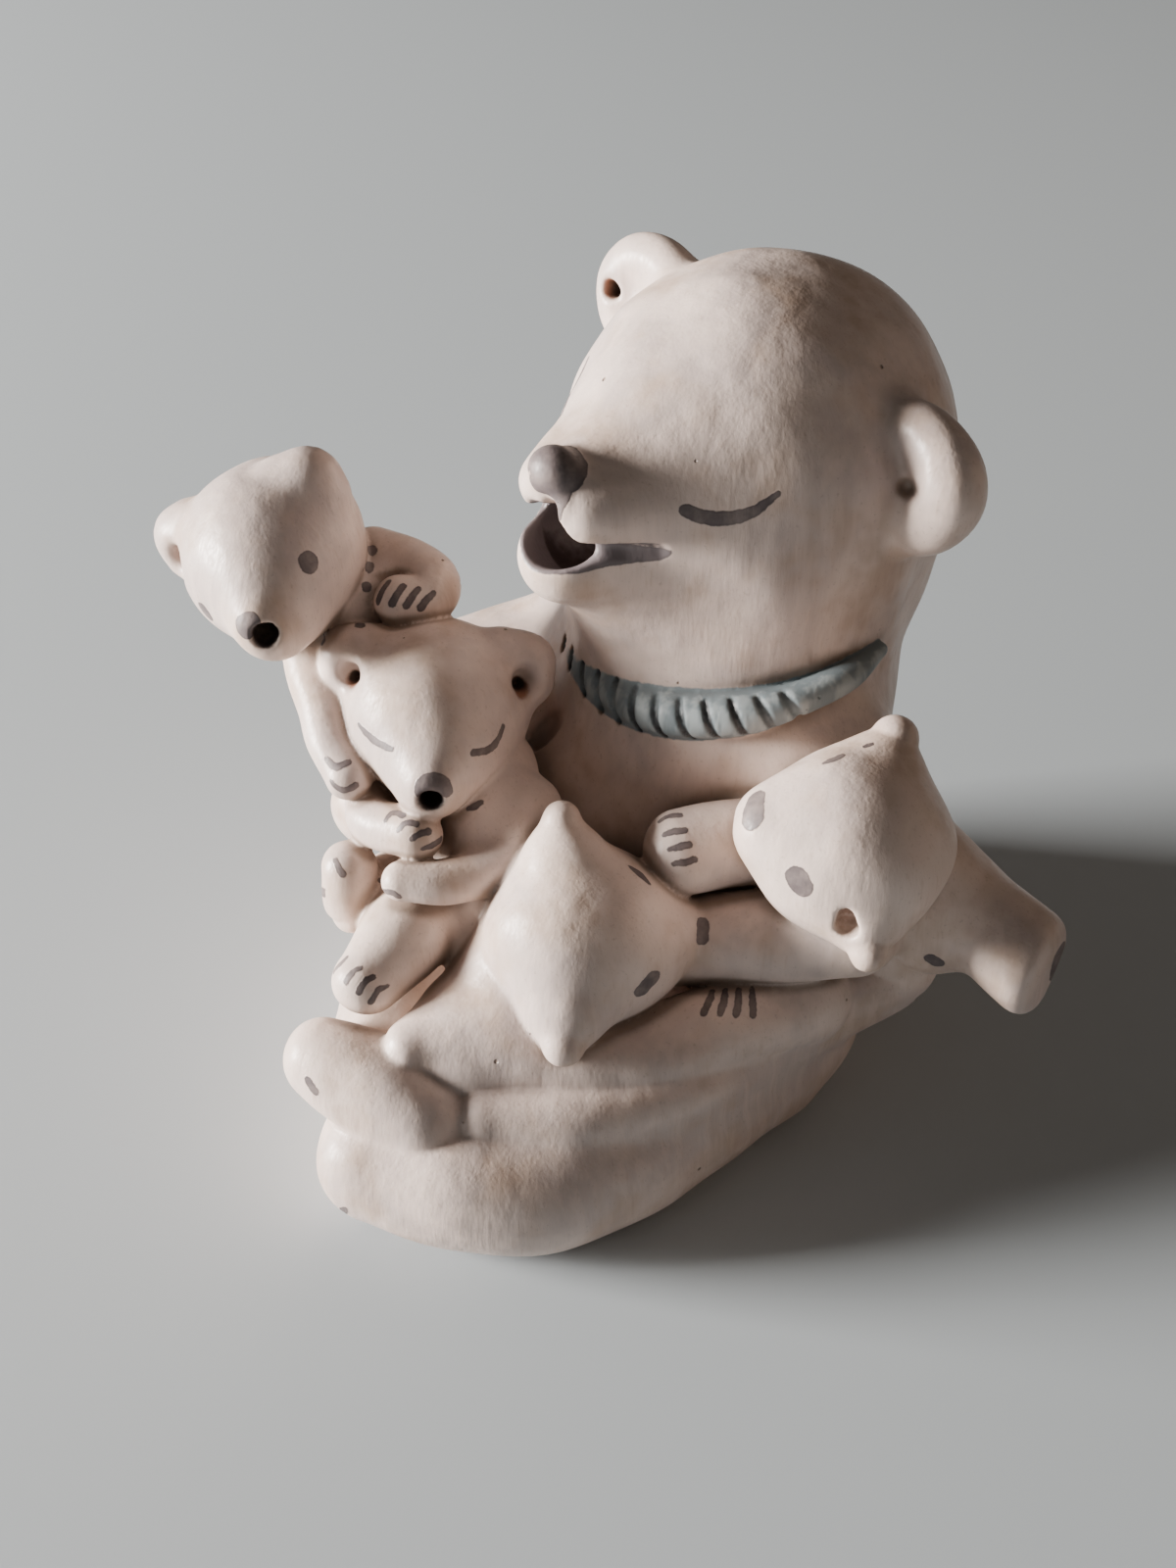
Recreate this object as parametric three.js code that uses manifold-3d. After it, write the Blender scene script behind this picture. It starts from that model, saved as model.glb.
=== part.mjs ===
// Storyteller figure: a seated mother bear sings to the four cubs that climb on her arms and lap.
// Millimetres, +Z up. She faces -Y, her left side is +X, and her flat underside lies on z = 0.
// The real piece is rolled, balled and pinched out of one clay, joined wet and fired as one body,
// so every roll and ball below is fused into one solid.

import * as THREE from 'three';
import { LoftGeometry } from 'three/addons/geometries/LoftGeometry.js';
import { mergeVertices } from 'three/addons/utils/BufferGeometryUtils.js';
import Module from 'manifold-3d';

// Driving dimensions. The pose is laid out in shares of the figure's own height.
const figureHeight = 150;
const heightInShares = 149.4;
const share = figureHeight / heightInShares;
const cubHeadRadius = 17.5 * share;
const surfaceTolerance = 0.74 * share;

const wasm = await Module();
wasm.setup();

// A point or a size given in shares of the height
const point = ([x, y, z]) => new THREE.Vector3(x, y, z).multiplyScalar(share);

// The left, front and up axes of a head that faces -Y when unturned. Turning by 90 faces it to +X,
// nodding lifts its nose, and tipping leans its crown to its right. All are in degrees.
function headAxes(turn, nod, tip) {
  const [a, b, c] = [turn, nod, tip].map(THREE.MathUtils.degToRad);
  const front = new THREE.Vector3(Math.sin(a) * Math.cos(b), -Math.cos(a) * Math.cos(b), Math.sin(b));
  const level = new THREE.Vector3(Math.cos(a), Math.sin(a), 0);
  const upright = new THREE.Vector3().crossVectors(front, level);
  if (upright.z < 0) upright.negate();
  const left = level.clone().multiplyScalar(Math.cos(c)).addScaledVector(upright, Math.sin(c));
  const up = level.clone().multiplyScalar(-Math.sin(c)).addScaledVector(upright, Math.cos(c));
  return { left, front, up };
}

// How many sides a round of this radius needs to stay within the tolerance of the true curve
function sidesFor(radius) {
  const half = Math.acos(1 - Math.min(surfaceTolerance / radius, 0.5));
  return Math.max(6, Math.ceil(Math.PI / half));
}

// A solid made from a closed geometry, with its shared corners merged and empty faces dropped
function solid(geometry) {
  const bare = new THREE.BufferGeometry().copy(geometry);
  bare.deleteAttribute('normal');
  bare.deleteAttribute('uv');
  const merged = mergeVertices(bare, 1e-4);
  const corners = merged.index.array;
  const faces = [];
  for (let i = 0; i < corners.length; i += 3) {
    const [a, b, c] = [corners[i], corners[i + 1], corners[i + 2]];
    if (a !== b && b !== c && c !== a) faces.push(a, b, c);
  }
  return new wasm.Manifold(new wasm.Mesh({
    numProp: 3,
    vertProperties: new Float32Array(merged.attributes.position.array),
    triVerts: new Uint32Array(faces),
  }));
}

// How far a coil bends and swells in all, in radians, which sets how many rings it needs
function bendOf(path, girth) {
  const samples = 40;
  const length = path.getLength();
  let bend = 0;
  let way;
  let slope;
  for (let i = 0; i < samples; i++) {
    const nextWay = path.getTangent((i + 0.5) / samples);
    const nextSlope = Math.atan2((girth.getPoint((i + 1) / samples).x - girth.getPoint(i / samples).x) * samples, length);
    if (way) bend += way.angleTo(nextWay) + Math.abs(nextSlope - slope);
    way = nextWay;
    slope = nextSlope;
  }
  return bend;
}

// A rolled coil of clay: rings of the given radii along a smooth path through the points, with
// rounded ends. The frame of each ring is carried on from the one before it, so nothing twists.
function roll(points, radii) {
  const path = new THREE.CatmullRomCurve3(points, false, 'catmullrom', 0.5);
  const girth = new THREE.CatmullRomCurve3(
    radii.map((r) => new THREE.Vector3(r, 0, 0)), false, 'catmullrom', 0.5);
  const sides = sidesFor(Math.max(...radii));
  const steps = Math.max(points.length - 1, Math.ceil((bendOf(path, girth) * sides) / (2 * Math.PI)));
  const capRings = Math.max(1, Math.round(sides / 6));
  const stations = [];
  const along = (t) => ({ at: path.getPoint(t), way: path.getTangent(t), r: girth.getPoint(t).x });
  const addCap = (t, sign, order) => {
    const end = along(t);
    for (const k of order) {
      const angle = (Math.PI / 2) * (k / (capRings + 0.6));
      stations.push({
        at: end.at.clone().addScaledVector(end.way, sign * end.r * Math.sin(angle)),
        way: end.way, r: end.r * Math.cos(angle),
      });
    }
  };
  const rising = Array.from({ length: capRings }, (_, k) => k + 1);
  addCap(0, -1, [...rising].reverse());
  for (let i = 0; i <= steps; i++) stations.push(along(i / steps));
  addCap(1, 1, rising);

  let across = new THREE.Vector3(0, 0, 1);
  if (Math.abs(stations[0].way.z) > 0.9) across = new THREE.Vector3(1, 0, 0);
  const sections = stations.map(({ at, way, r }) => {
    across = across.clone().addScaledVector(way, -across.dot(way)).normalize();
    const beside = new THREE.Vector3().crossVectors(way, across);
    return Array.from({ length: sides }, (_, j) => {
      const angle = (2 * Math.PI * j) / sides;
      return at.clone()
        .addScaledVector(across, r * Math.cos(angle))
        .addScaledVector(beside, r * Math.sin(angle));
    });
  });
  return solid(new LoftGeometry(sections, { closed: true, capStart: true, capEnd: true }));
}

// A ball of clay pressed to three radii, along the given axes
function ball(centre, [rx, ry, rz], axes) {
  const largest = Math.max(rx, ry, rz);
  const sides = sidesFor(largest);
  const egg = new THREE.SphereGeometry(1, sides, Math.max(4, Math.round(sides / 2)));
  const frame = new THREE.Matrix4().makeBasis(
    axes ? axes.left : new THREE.Vector3(1, 0, 0),
    axes ? axes.front : new THREE.Vector3(0, -1, 0),
    axes ? axes.up : new THREE.Vector3(0, 0, 1));
  if (frame.determinant() < 0) frame.scale(new THREE.Vector3(1, 1, -1));
  egg.rotateX(Math.PI / 2);
  egg.applyMatrix4(new THREE.Matrix4().makeScale(rx, ry, rz));
  egg.applyMatrix4(frame);
  egg.translate(centre.x, centre.y, centre.z);
  return solid(egg);
}

// Shorthands in shares of the height
const rollOf = (rings) => roll(rings.map(([x, y, z]) => point([x, y, z])), rings.map((q) => q[3] * share));
const ballOf = (centre, radii) => ball(point(centre), radii.map((r) => r * share));

// The forms of a head, in its own left, front and up axes and in its own unit of size
function headForms(centre, unit, axes) {
  const at = ([l, f, u]) => centre.clone()
    .addScaledVector(axes.left, l * unit)
    .addScaledVector(axes.front, f * unit)
    .addScaledVector(axes.up, u * unit);
  return {
    roll: (rings) => roll(rings.map(at), rings.map((q) => q[3] * unit)),
    ball: (where, radii) => ball(at(where), radii.map((r) => r * unit), axes),
  };
}

const bothSides = [1, -1];
const fuse = (forms) => forms.reduce((whole, form) => whole.add(form));
const cut = (body, forms) => forms.reduce((rest, form) => rest.subtract(form), body);

// The mother's head is raised in song, with round rolled ears and an open mouth
function mothersHead() {
  const head = headForms(point([-1, 37.5, 119]), share, headAxes(-6, 10, -7));
  const forms = [
    head.ball([0, 0, -6.5], [33, 35, 37]),
    head.roll([[0, 4, -5, 31.5], [0, 18, -5.5, 25.5], [0, 30, -6, 18], [0, 42, -6, 10]]),
    head.ball([0, 48, -1.5], [4.8, 4.5, 4.2]),
    head.roll([[0, 2, -18, 28], [0, 28, -21, 16.5], [0, 42, -20, 10]]),
    head.roll([[0, 31, -26, 11], [0, 19, -36, 17.5], [0, 5, -47, 26]]),
  ];
  for (const side of bothSides) {
    forms.push(head.ball([side * 5.5, 44.5, -6], [6, 6.5, 5.5]));
    forms.push(head.ball([side * 38.5, 1, 8], [10.5, 5.5, 11.5]));
    forms.push(head.ball([side * 31, 0, 4], [8, 6.5, 11]));
  }
  const mouth = [
    head.roll([[16, 37.5, -10.5, 0.8], [12.5, 42.3, -11.8, 2.2], [7.5, 47, -13, 3.2], [0, 50, -13.5, 4],
      [-7.5, 47, -13, 3.2], [-12.5, 42.3, -11.8, 2.2], [-16, 37.5, -10.5, 0.8]]),
    head.roll([[0, 56, -13, 6.5], [0, 46, -13, 6], [0, 32, -12, 4]]),
  ];
  const earDishes = bothSides.map((side) => head.ball([side * 36, 8.5, 7], [4.5, 5, 7]));
  return cut(fuse(forms), [...mouth, ...earDishes]);
}

// Her seated body: a pear-shaped trunk, legs straight out with the right foot laid over the left,
// and arms rolled round to hold the cubs
function mothersBody() {
  return fuse([
    ballOf([0, 18, 18], [45, 36, 28]),
    ballOf([4, -22, 9], [36, 42, 16]),
    ballOf([-18, -3, 44], [24, 24, 22]),
    rollOf([[0, 20, 16, 38], [0, 22, 40, 37], [0, 27, 62, 33.5], [0, 30, 78, 31.5], [0, 33.5, 96, 34]]),
    rollOf([[27, 10, 15, 20], [34, -15, 14, 17], [29, -47, 13, 15.5], [12, -68, 13, 14], [2, -71, 13, 12.5]]),
    rollOf([[-24, 12, 18, 20], [-26, -20, 18, 17], [-16, -45, 20, 14], [-2, -58, 22, 11]]),
    rollOf([[-12, -66, 28, 11], [7, -62, 18, 12]]),
    rollOf([[-26, 20, 64, 15], [-43, 8, 59, 13], [-51, -11, 53, 12], [-41, -31, 46, 10]]),
    rollOf([[28, 20, 62, 15], [48, 16, 48, 12.5], [53, 14, 34, 11], [47, -6, 23, 10],
      [36, -28, 20, 9], [24, -46, 20, 8.5], [14.5, -53.5, 20, 7]]),
  ]);
}

// The raised necklace lies round the front of her neck, thins away to its ends and is nicked
// across by slanting cuts
function necklace() {
  const reach = THREE.MathUtils.degToRad(100);
  const [centreX, centreY, low, rise] = [1, 29.2, 78, 9.5];
  const onNeck = (t, out) => [
    centreX + (31 + out) * Math.sin(reach * t), centreY - (31 + out) * Math.cos(reach * t), low + rise * t * t];
  const beads = 8;
  const rings = [];
  for (let i = -beads; i <= beads; i++) {
    const t = i / beads;
    rings.push([...onNeck(t, 0), 1.2 + 2.8 * Math.cos(0.97 * (Math.PI / 2) * t) ** 0.6]);
  }
  const nicks = 14;
  const cuts = [];
  for (let i = 0; i < nicks; i++) {
    const t = -0.62 + (1.3 * i) / (nicks - 1);
    const blade = new THREE.BoxGeometry(0.9 * share, 4 * share, 10 * share);
    blade.rotateY(THREE.MathUtils.degToRad(24));
    blade.rotateZ(reach * t);
    const where = point(onNeck(t, 4.6));
    blade.translate(where.x, where.y, where.z);
    cuts.push(solid(blade));
  }
  return cut(rollOf(rings), cuts);
}

// Every cub has the same head: a round crown drawn out to a short muzzle, pinched ears with a
// pocket in front, and a small round singing mouth
function cubsHead(centre, turn, nod, tip) {
  const head = headForms(point(centre), cubHeadRadius, headAxes(turn, nod, tip));
  const forms = [
    head.ball([0, 0, 0], [1, 1.02, 0.94]),
    head.roll([[0, 0.15, -0.06, 0.9], [0, 0.7, -0.18, 0.57], [0, 1, -0.24, 0.35]]),
  ];
  const pockets = [head.roll([[0, 1.5, -0.4, 0.13], [0, 1.1, -0.38, 0.1]])];
  for (const side of bothSides) {
    forms.push(head.roll([[side * 0.4, -0.1, 0.15, 0.66], [side * 0.9, -0.2, 0.46, 0.33]]));
    forms.push(head.ball([side * 0.96, -0.18, 0.5], [0.33, 0.22, 0.36]));
    pockets.push(head.roll([[side * 0.97, 0.25, 0.48, 0.18], [side * 0.8, -0.12, 0.43, 0.12]]));
  }
  return cut(fuse(forms), pockets);
}

// The four cubs: the head's place and its turn, nod and tip, then the rolls of body and limbs
const cubs = {
  onHerRightArm: {
    head: [[-59.5, -32, 99.5], 38, -3, 30],
    limbs: [
      [[-49, -25, 88, 14], [-45, -29, 68, 12]],
      [[-47, -19, 89, 8], [-40, -15.5, 93, 8.5], [-36.5, -20.5, 91, 7.5]],
      [[-46.5, -32.5, 82, 8], [-38.5, -39.5, 74, 7.5], [-29, -44, 66, 6.5]],
    ],
  },
  onHerRightKnee: {
    head: [[-27.3, -24.5, 75], 45, 11, -5],
    limbs: [
      [[-18, -22, 62, 13], [-6, -28, 50, 14]],
      [[-26, -32, 58, 8], [-24, -42, 58, 8], [-15, -44, 63, 7]],
      [[-4, -32, 60, 9], [-8, -42, 58, 7], [-14, -50, 56, 6]],
      [[-8, -32, 46, 10], [-10, -46, 48, 9], [-13, -59, 41, 8]],
      [[-20, -36, 46, 9], [-21, -45, 50, 8], [-18, -52.5, 56, 8]],
    ],
  },
  inHerLap: {
    head: [[15.5, -31, 50], 130, 2, 43],
    limbs: [
      [[10, -44, 42, 14], [10, -48, 34, 13]],
      [[8, -54, 38, 9], [2, -64, 37, 4]],
      [[14, -46, 34, 12], [32, -28, 30, 11.5], [46, -4, 28, 10]],
      [[38, -16, 34, 7], [38, -14, 40, 6]],
    ],
  },
  onHerLeftArm: {
    head: [[51.4, 4.6, 70.8], -72, -6, -54],
    limbs: [
      [[58, 10, 60, 13], [60, 12, 50, 13]],
      [[44, 12, 60, 8], [30, -2, 62, 8], [23, -13, 62, 7.5]],
      [[52, 0, 53, 9], [42, -6, 47.5, 8.8], [26, -16, 43, 8.5]],
      [[58, 18, 56, 9.5], [66, 18, 53, 9], [80, 16, 50, 9]],
    ],
    // The hind foot held out to her left ends in a flat sole
    sole: { at: 80.5, thickness: 16 },
  },
};

function cub({ head, limbs, sole }) {
  const body = fuse([cubsHead(...head), ...limbs.map(rollOf)]);
  if (!sole) return body;
  const beyond = new THREE.BoxGeometry(sole.thickness * share, 60 * share, 60 * share);
  const middle = point([sole.at + sole.thickness / 2, 16, 50]);
  beyond.translate(middle.x, middle.y, middle.z);
  return body.subtract(solid(beyond));
}

// Everything below the surface that she sits on is cut away, which leaves the flat underside
function floorCut() {
  const depth = 40 * share;
  const ground = new THREE.BoxGeometry(300 * share, 300 * share, depth);
  ground.translate(0, 0, -depth / 2);
  return solid(ground);
}

function figureGeometry() {
  const clay = fuse([mothersBody(), mothersHead(), necklace(), ...Object.values(cubs).map(cub)]);
  const { vertProperties, triVerts } = clay.subtract(floorCut()).getMesh();
  const geometry = new THREE.BufferGeometry();
  geometry.setAttribute('position', new THREE.BufferAttribute(new Float32Array(vertProperties), 3));
  geometry.setIndex(new THREE.BufferAttribute(new Uint32Array(triVerts), 1));
  geometry.computeVertexNormals();
  return geometry;
}

const slip = new THREE.MeshStandardMaterial({ color: 0xd2c4b8, roughness: 0.55, metalness: 0 });
const figure = new THREE.Mesh(figureGeometry(), slip);
figure.name = 'figure';

const storyteller = new THREE.Group();
storyteller.add(figure);
export default storyteller;
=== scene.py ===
"""A pueblo storyteller figure in fired clay: a seated mother bear sings to four climbing cubs."""

import math

import bpy
import numpy as np
from mathutils import Matrix, Vector


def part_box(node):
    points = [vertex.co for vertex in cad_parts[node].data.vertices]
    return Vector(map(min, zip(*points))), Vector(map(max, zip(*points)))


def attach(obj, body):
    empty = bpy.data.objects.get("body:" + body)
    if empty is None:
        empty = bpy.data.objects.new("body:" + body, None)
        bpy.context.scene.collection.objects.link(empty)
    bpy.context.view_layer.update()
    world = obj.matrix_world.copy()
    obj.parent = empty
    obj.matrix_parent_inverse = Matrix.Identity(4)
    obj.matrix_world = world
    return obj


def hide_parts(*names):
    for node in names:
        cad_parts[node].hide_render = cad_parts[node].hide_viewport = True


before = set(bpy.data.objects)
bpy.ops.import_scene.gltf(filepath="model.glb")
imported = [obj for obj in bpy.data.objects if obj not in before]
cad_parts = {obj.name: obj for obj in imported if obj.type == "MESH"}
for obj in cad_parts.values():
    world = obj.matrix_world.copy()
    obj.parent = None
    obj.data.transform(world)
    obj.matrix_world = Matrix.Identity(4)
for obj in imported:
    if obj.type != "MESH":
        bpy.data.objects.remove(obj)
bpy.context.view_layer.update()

# The mother's body. The potter rolls coils and balls of one clay, joins them wet and smooths the
# joins with a damp finger. She sits with her legs out, the right foot laid over the left, and her
# arms are long coils that run from the shoulders round the cubs.
# Lengths are in shares of the figure's height, laid out at 148.8 high.

LAID_OUT_HEIGHT = 148.8
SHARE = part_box("figure")[1].z / LAID_OUT_HEIGHT
FAR = 9.0
BOTH_SIDES = (1, -1)


def wet_join(one, other, reach):
    """The smaller of two distances, less a quarter of reach times the square of how near they
    are to each other, counted in reaches: a fillet that ends where they differ by one reach."""
    near = np.maximum(reach - np.abs(one - other), 0) / reach
    return np.minimum(one, other) - near * near * reach / 4


def spline_spans(rings):
    """Cubic coefficients of each span of the curve that passes through every ring, whose slope
    at a ring is half the step from the ring before to the ring after."""
    rings = np.asarray(rings, float)
    ends = np.vstack([2 * rings[0] - rings[1], rings, 2 * rings[-1] - rings[-2]])
    a, b, c, d = ends[:-3], ends[1:-2], ends[2:-1], ends[3:]
    return np.stack([b, (c - a) / 2, (2 * a - 5 * b + 4 * c - d) / 2, (3 * b - a - 3 * c + d) / 2], 1)


def along_spans(spans, place):
    """Centre and radius of a roll, and their rates of change, at each place along its spans."""
    index = np.clip(place.astype(int), 0, len(spans) - 1)
    t = (place - index)[:, None].astype(np.float32)
    k = spans[index]
    ring = k[:, 0] + t * (k[:, 1] + t * (k[:, 2] + t * k[:, 3]))
    rate = k[:, 1] + t * (2 * k[:, 2] + 3 * t * k[:, 3])
    return ring, rate


class Roll:
    """A coil of clay: round rings of (x, y, z, radius) joined along a smooth path."""

    def __init__(self, rings):
        self.spans = spline_spans(rings).astype(np.float32)
        steps = 1 if len(rings) == 2 else 4
        self.places = np.linspace(0, len(self.spans), len(self.spans) * steps + 1)
        self.stations = along_spans(self.spans, self.places)[0]
        radius = self.stations[:, 3:]
        self.low = (self.stations[:, :3] - radius).min(0)
        self.high = (self.stations[:, :3] + radius).max(0)

    def distance(self, points):
        """Distance to the nearest of the cones between stations, slid along the curve to the
        place where the step to the point is square to the path, less the radius there."""
        best = np.full(len(points), 1e9, np.float32)
        place = np.zeros(len(points), np.float32)
        for i in range(len(self.stations) - 1):
            start, end = self.stations[i], self.stations[i + 1]
            way = end[:3] - start[:3]
            off = points - start[:3]
            t = np.clip(off @ way / (way @ way + 1e-9), 0, 1)
            off -= t[:, None] * way
            gap = np.sqrt(np.einsum("ij,ij->i", off, off)) - (start[3] + (end[3] - start[3]) * t)
            closer = gap < best
            best[closer] = gap[closer]
            place[closer] = self.places[i] + (self.places[i + 1] - self.places[i]) * t[closer]
        ring, rate = along_spans(self.spans, place)
        off = points - ring[:, :3]
        length = np.sqrt(np.einsum("ij,ij->i", off, off)) + 1e-9
        slide = (np.einsum("ij,ij->i", off, rate[:, :3]) + length * rate[:, 3]) * 0.9
        slide /= np.einsum("ij,ij->i", rate[:, :3], rate[:, :3]) + 1e-9
        place = np.clip(place + slide, 0, len(self.spans))
        ring = along_spans(self.spans, place)[0]
        off = points - ring[:, :3]
        self.share_along = place / len(self.spans)
        return np.sqrt(np.einsum("ij,ij->i", off, off)) - ring[:, 3]


class Ball:
    """A ball of clay pressed to three radii along three axes."""

    def __init__(self, centre, radii, axes=np.eye(3)):
        self.centre = np.asarray(centre, np.float32)
        self.radii = np.asarray(radii, np.float32)
        self.axes = np.asarray(axes, np.float32)
        reach = np.sqrt(((self.axes * self.radii[:, None]) ** 2).sum(0))
        self.low, self.high = self.centre - reach, self.centre + reach

    def distance(self, points):
        """With q the point in radii, and w the same divided by the radii once more, the length
        of q times one less than itself, over the length of w."""
        q = (points - self.centre) @ self.axes.T / self.radii
        length = np.sqrt(np.einsum("ij,ij->i", q, q))
        w = q / self.radii
        slope = np.sqrt(np.einsum("ij,ij->i", w, w)) + 1e-9
        return np.where(length < 1e-3, -self.radii.min(), length * (length - 1) / slope)


class Lump:
    """A lump of clay, as the list of forms joined on and hollows pressed in, in working order."""

    def __init__(self):
        self.steps = []
        self.low, self.high = np.full(3, np.inf), np.full(3, -np.inf)

    def join(self, form, reach):
        """Joins on a form with a fillet. A roll may have two reaches, at its root and its tip."""
        self.steps.append((form, reach, False))
        self.low, self.high = np.minimum(self.low, form.low), np.maximum(self.high, form.high)

    def press(self, form, reach):
        """Presses a form in as a hollow with a rounded edge."""
        self.steps.append((form, reach, True))

    def distance(self, points):
        """The field of the steps so far. Each step is worked out only near its own form."""
        field = np.full(len(points), FAR, np.float32)
        for form, reach, pressed in self.steps:
            margin = np.max(reach) + 4
            where = np.flatnonzero(((points > form.low - margin) & (points < form.high + margin)).all(1))
            if not len(where):
                continue
            gap = form.distance(points[where])
            if np.ndim(reach):
                reach = reach[0] + (reach[1] - reach[0]) * form.share_along
            if pressed:
                field[where] = -wet_join(-field[where], gap, reach)
            else:
                field[where] = wet_join(field[where], gap, reach)
        return field


class Flat:
    """Everything past a level along one axis (side 1 above it, -1 below), to press flat with."""

    def __init__(self, level, axis=2, side=-1):
        self.level, self.axis, self.side = level, axis, side
        self.low, self.high = np.full(3, -1e3), np.full(3, 1e3)

    def distance(self, points):
        """How far a point is on the kept side of the flat."""
        return self.side * (self.level - points[:, self.axis])


def head_axes(turn, nod, tip):
    """Left, front and up of a head. It faces -Y at turn 0 and +X at turn 90, nod lifts the nose,
    and tip leans the crown to its own right."""
    a, b, c = np.radians([turn, nod, tip])
    front = np.array([np.sin(a) * np.cos(b), -np.cos(a) * np.cos(b), np.sin(b)])
    level = np.array([np.cos(a), np.sin(a), 0.0])
    upright = np.cross(front, level)
    left = np.cos(c) * level + np.sin(c) * upright
    up = -np.sin(c) * level + np.cos(c) * upright
    return np.array([left, front, up])


SEAT = Ball((-1, 18, 18), (42, 36, 28))
TRUNK = Roll([(-1, 20, 16, 37), (-1, 22, 40, 36.5), (0, 27, 62, 33.5), (1.1, 31, 78, 30),
              (0, 34, 92, 30.5)])
LAP = Ball((4, -22, 8), (36, 42, 16))
BELLY = Ball((-18, -1, 42), (23, 23, 20))
LEFT_LEG = Roll([(31, 4, 15, 20.5), (33, -17, 13, 16.5), (29, -46, 12, 14.8), (17, -63, 12.5, 13.8),
                 (2, -70.5, 13, 12.6)])
RIGHT_LEG = Roll([(-24, 12, 18, 20), (-26, -20, 18, 17), (-16, -45, 20, 14), (-8, -60, 22, 11)])
RIGHT_FOOT = Roll([(-11, -71.5, 30, 7.8), (-6.5, -70, 29, 9), (0, -67.5, 27, 9.8), (7.5, -65.5, 25, 8.8)])
RIGHT_ARM = Roll([(-26, 20, 64, 15), (-43, 8, 59, 13), (-51, -11, 53, 12), (-41, -29, 47, 9)])
LEFT_ARM = Roll([(28, 20, 62, 15), (46, 16, 50, 12), (52, 15, 34, 9.5), (47, 1, 29, 7.7),
                 (43, -12, 27, 7.5), (39, -29, 26, 7.2), (30, -46, 25.5, 6.8), (17, -58.5, 26, 6)])
MOTHERS_BODY = [(SEAT, 4), (TRUNK, 12), (LAP, 8), (BELLY, 8), (LEFT_LEG, (8, 2)), (RIGHT_LEG, (8, 2)),
                (RIGHT_FOOT, 1), (RIGHT_ARM, (10, 1)), (LEFT_ARM, (10, 0.6))]

figure_clay = Lump()
for form, reach in MOTHERS_BODY:
    figure_clay.join(form, reach)

# Her head is raised in song: a ball with the muzzle drawn out of it, a nose pad over two full
# upper lips, a thin lower lip round the open mouth, and two round ears thumbed to a dish.

HEAD_CENTRE = np.array([-1, 37.5, 119])
HEAD_AXES = head_axes(-6, 10, -7)


def on_head(left, front, up, radius=None):
    """A point of the mother's head from her own left, front and up, with a ring's radius."""
    point = HEAD_CENTRE + np.array([left, front, up]) @ HEAD_AXES
    return point if radius is None else (*point, radius)


EAR_LIFT = {1: 0.0, -1: 0.6}
EAR_SHARE = {1: 1.0, -1: 0.84}
EAR_POCKET = {
    1: [(37.6, 7.2, 8.4, 1.6), (35.2, 5.0, 7.3, 1.3)],
    -1: [(-41, 9, 7.7, 1.9), (-40, 1.5, 7.7, 1.3)],
}
EAR_RIM = [(25, 1, 14, 4.6), (32.6, 1, 15.4, 4.9), (39, 1, 12.8, 5.4), (41.2, 1.2, 8.0, 5.8),
           (40, 1, 2.6, 5.4), (35.5, 0, -0.6, 5.0), (28, -1, -1.8, 4.5)]
SKULL = Ball(on_head(0.8, -0.4, -6.5), (34.2, 35.5, 36.8), HEAD_AXES)
MUZZLE = Roll([on_head(0, 8, -5, 28.5), on_head(0, 28, -6, 17.2), on_head(0, 44, -4, 8.2)])
JAW = Roll([on_head(0, 6, -18, 25), on_head(0, 28, -18.8, 13.6), on_head(0, 44.5, -17.8, 8)])
THROAT_FRONT = Roll([on_head(0, 27, -23, 10), on_head(0, 14, -34, 17), on_head(0, 2, -46, 25)])
NOSE = Ball(on_head(-0.5, 52.0, 0.5), (4.5, 3.9, 4.2), HEAD_AXES)
UPPER_LIP = [(9.5, 34, -4.5, 4.8), (6.4, 46, -5, 4.7), (3.9, 50.4, -4.4, 3.3)]
MOTHERS_HEAD = [(SKULL, 10), (MUZZLE, 10), (JAW, 8), (THROAT_FRONT, 9), (NOSE, 3.5)]
for side in BOTH_SIDES:
    upper_lip = Roll([on_head(side * out, front, up, radius) for out, front, up, radius in UPPER_LIP])
    ear_dish = Ball(on_head(side * 34.5, -1, 7 + EAR_LIFT[side]), (8.5, 4.8, 8.5), HEAD_AXES)
    ear_rim = Roll([on_head(side * out, front, up + EAR_LIFT[side], radius * EAR_SHARE[side])
                    for out, front, up, radius in EAR_RIM])
    MOTHERS_HEAD += [(upper_lip, (6, 2)), (ear_dish, 6), (ear_rim, 3)]
for form, reach in MOTHERS_HEAD:
    figure_clay.join(form, reach)

LIPS = [(14.9, 39.1, -9.5, 1.25), (12.1, 42.7, -10.3, 1.75), (8.2, 47.5, -11.3, 2.4)]
SMILE = Roll([on_head(*lip) for lip in LIPS] + [on_head(0, 51, -14, 3)]
             + [on_head(-left, front, up, radius) for left, front, up, radius in LIPS[::-1]])
THROAT = Roll([on_head(0, 59, -10.8, 5.6), on_head(0, 50, -11.8, 5.8),
               on_head(0, 42, -14.2, 6.8), on_head(0, 31, -14, 5)])
CLEFT = Roll([on_head(1.9, 56.5, -2.4, 1.1), on_head(2.0, 54.5, -4.6, 2.0), on_head(1.8, 50, -7.8, 2.8)])
figure_clay.press(SMILE, 1)
figure_clay.press(THROAT, 1.6)
figure_clay.press(CLEFT, 1)
# The ear pockets whose clay is left bare, darkened with painted shade where it lies deep
shaded_bare_hollows = Lump()
for side in BOTH_SIDES:
    figure_clay.press(Roll([on_head(*ring) for ring in EAR_POCKET[side]]), 1.4)
shaded_bare_hollows.join(Roll([on_head(*ring) for ring in EAR_POCKET[-1]]), 0.1)

# Her necklace is a raised coil laid round the front of the neck, thinning to nothing at its ends,
# and nicked across with a blade all the way round.

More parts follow.
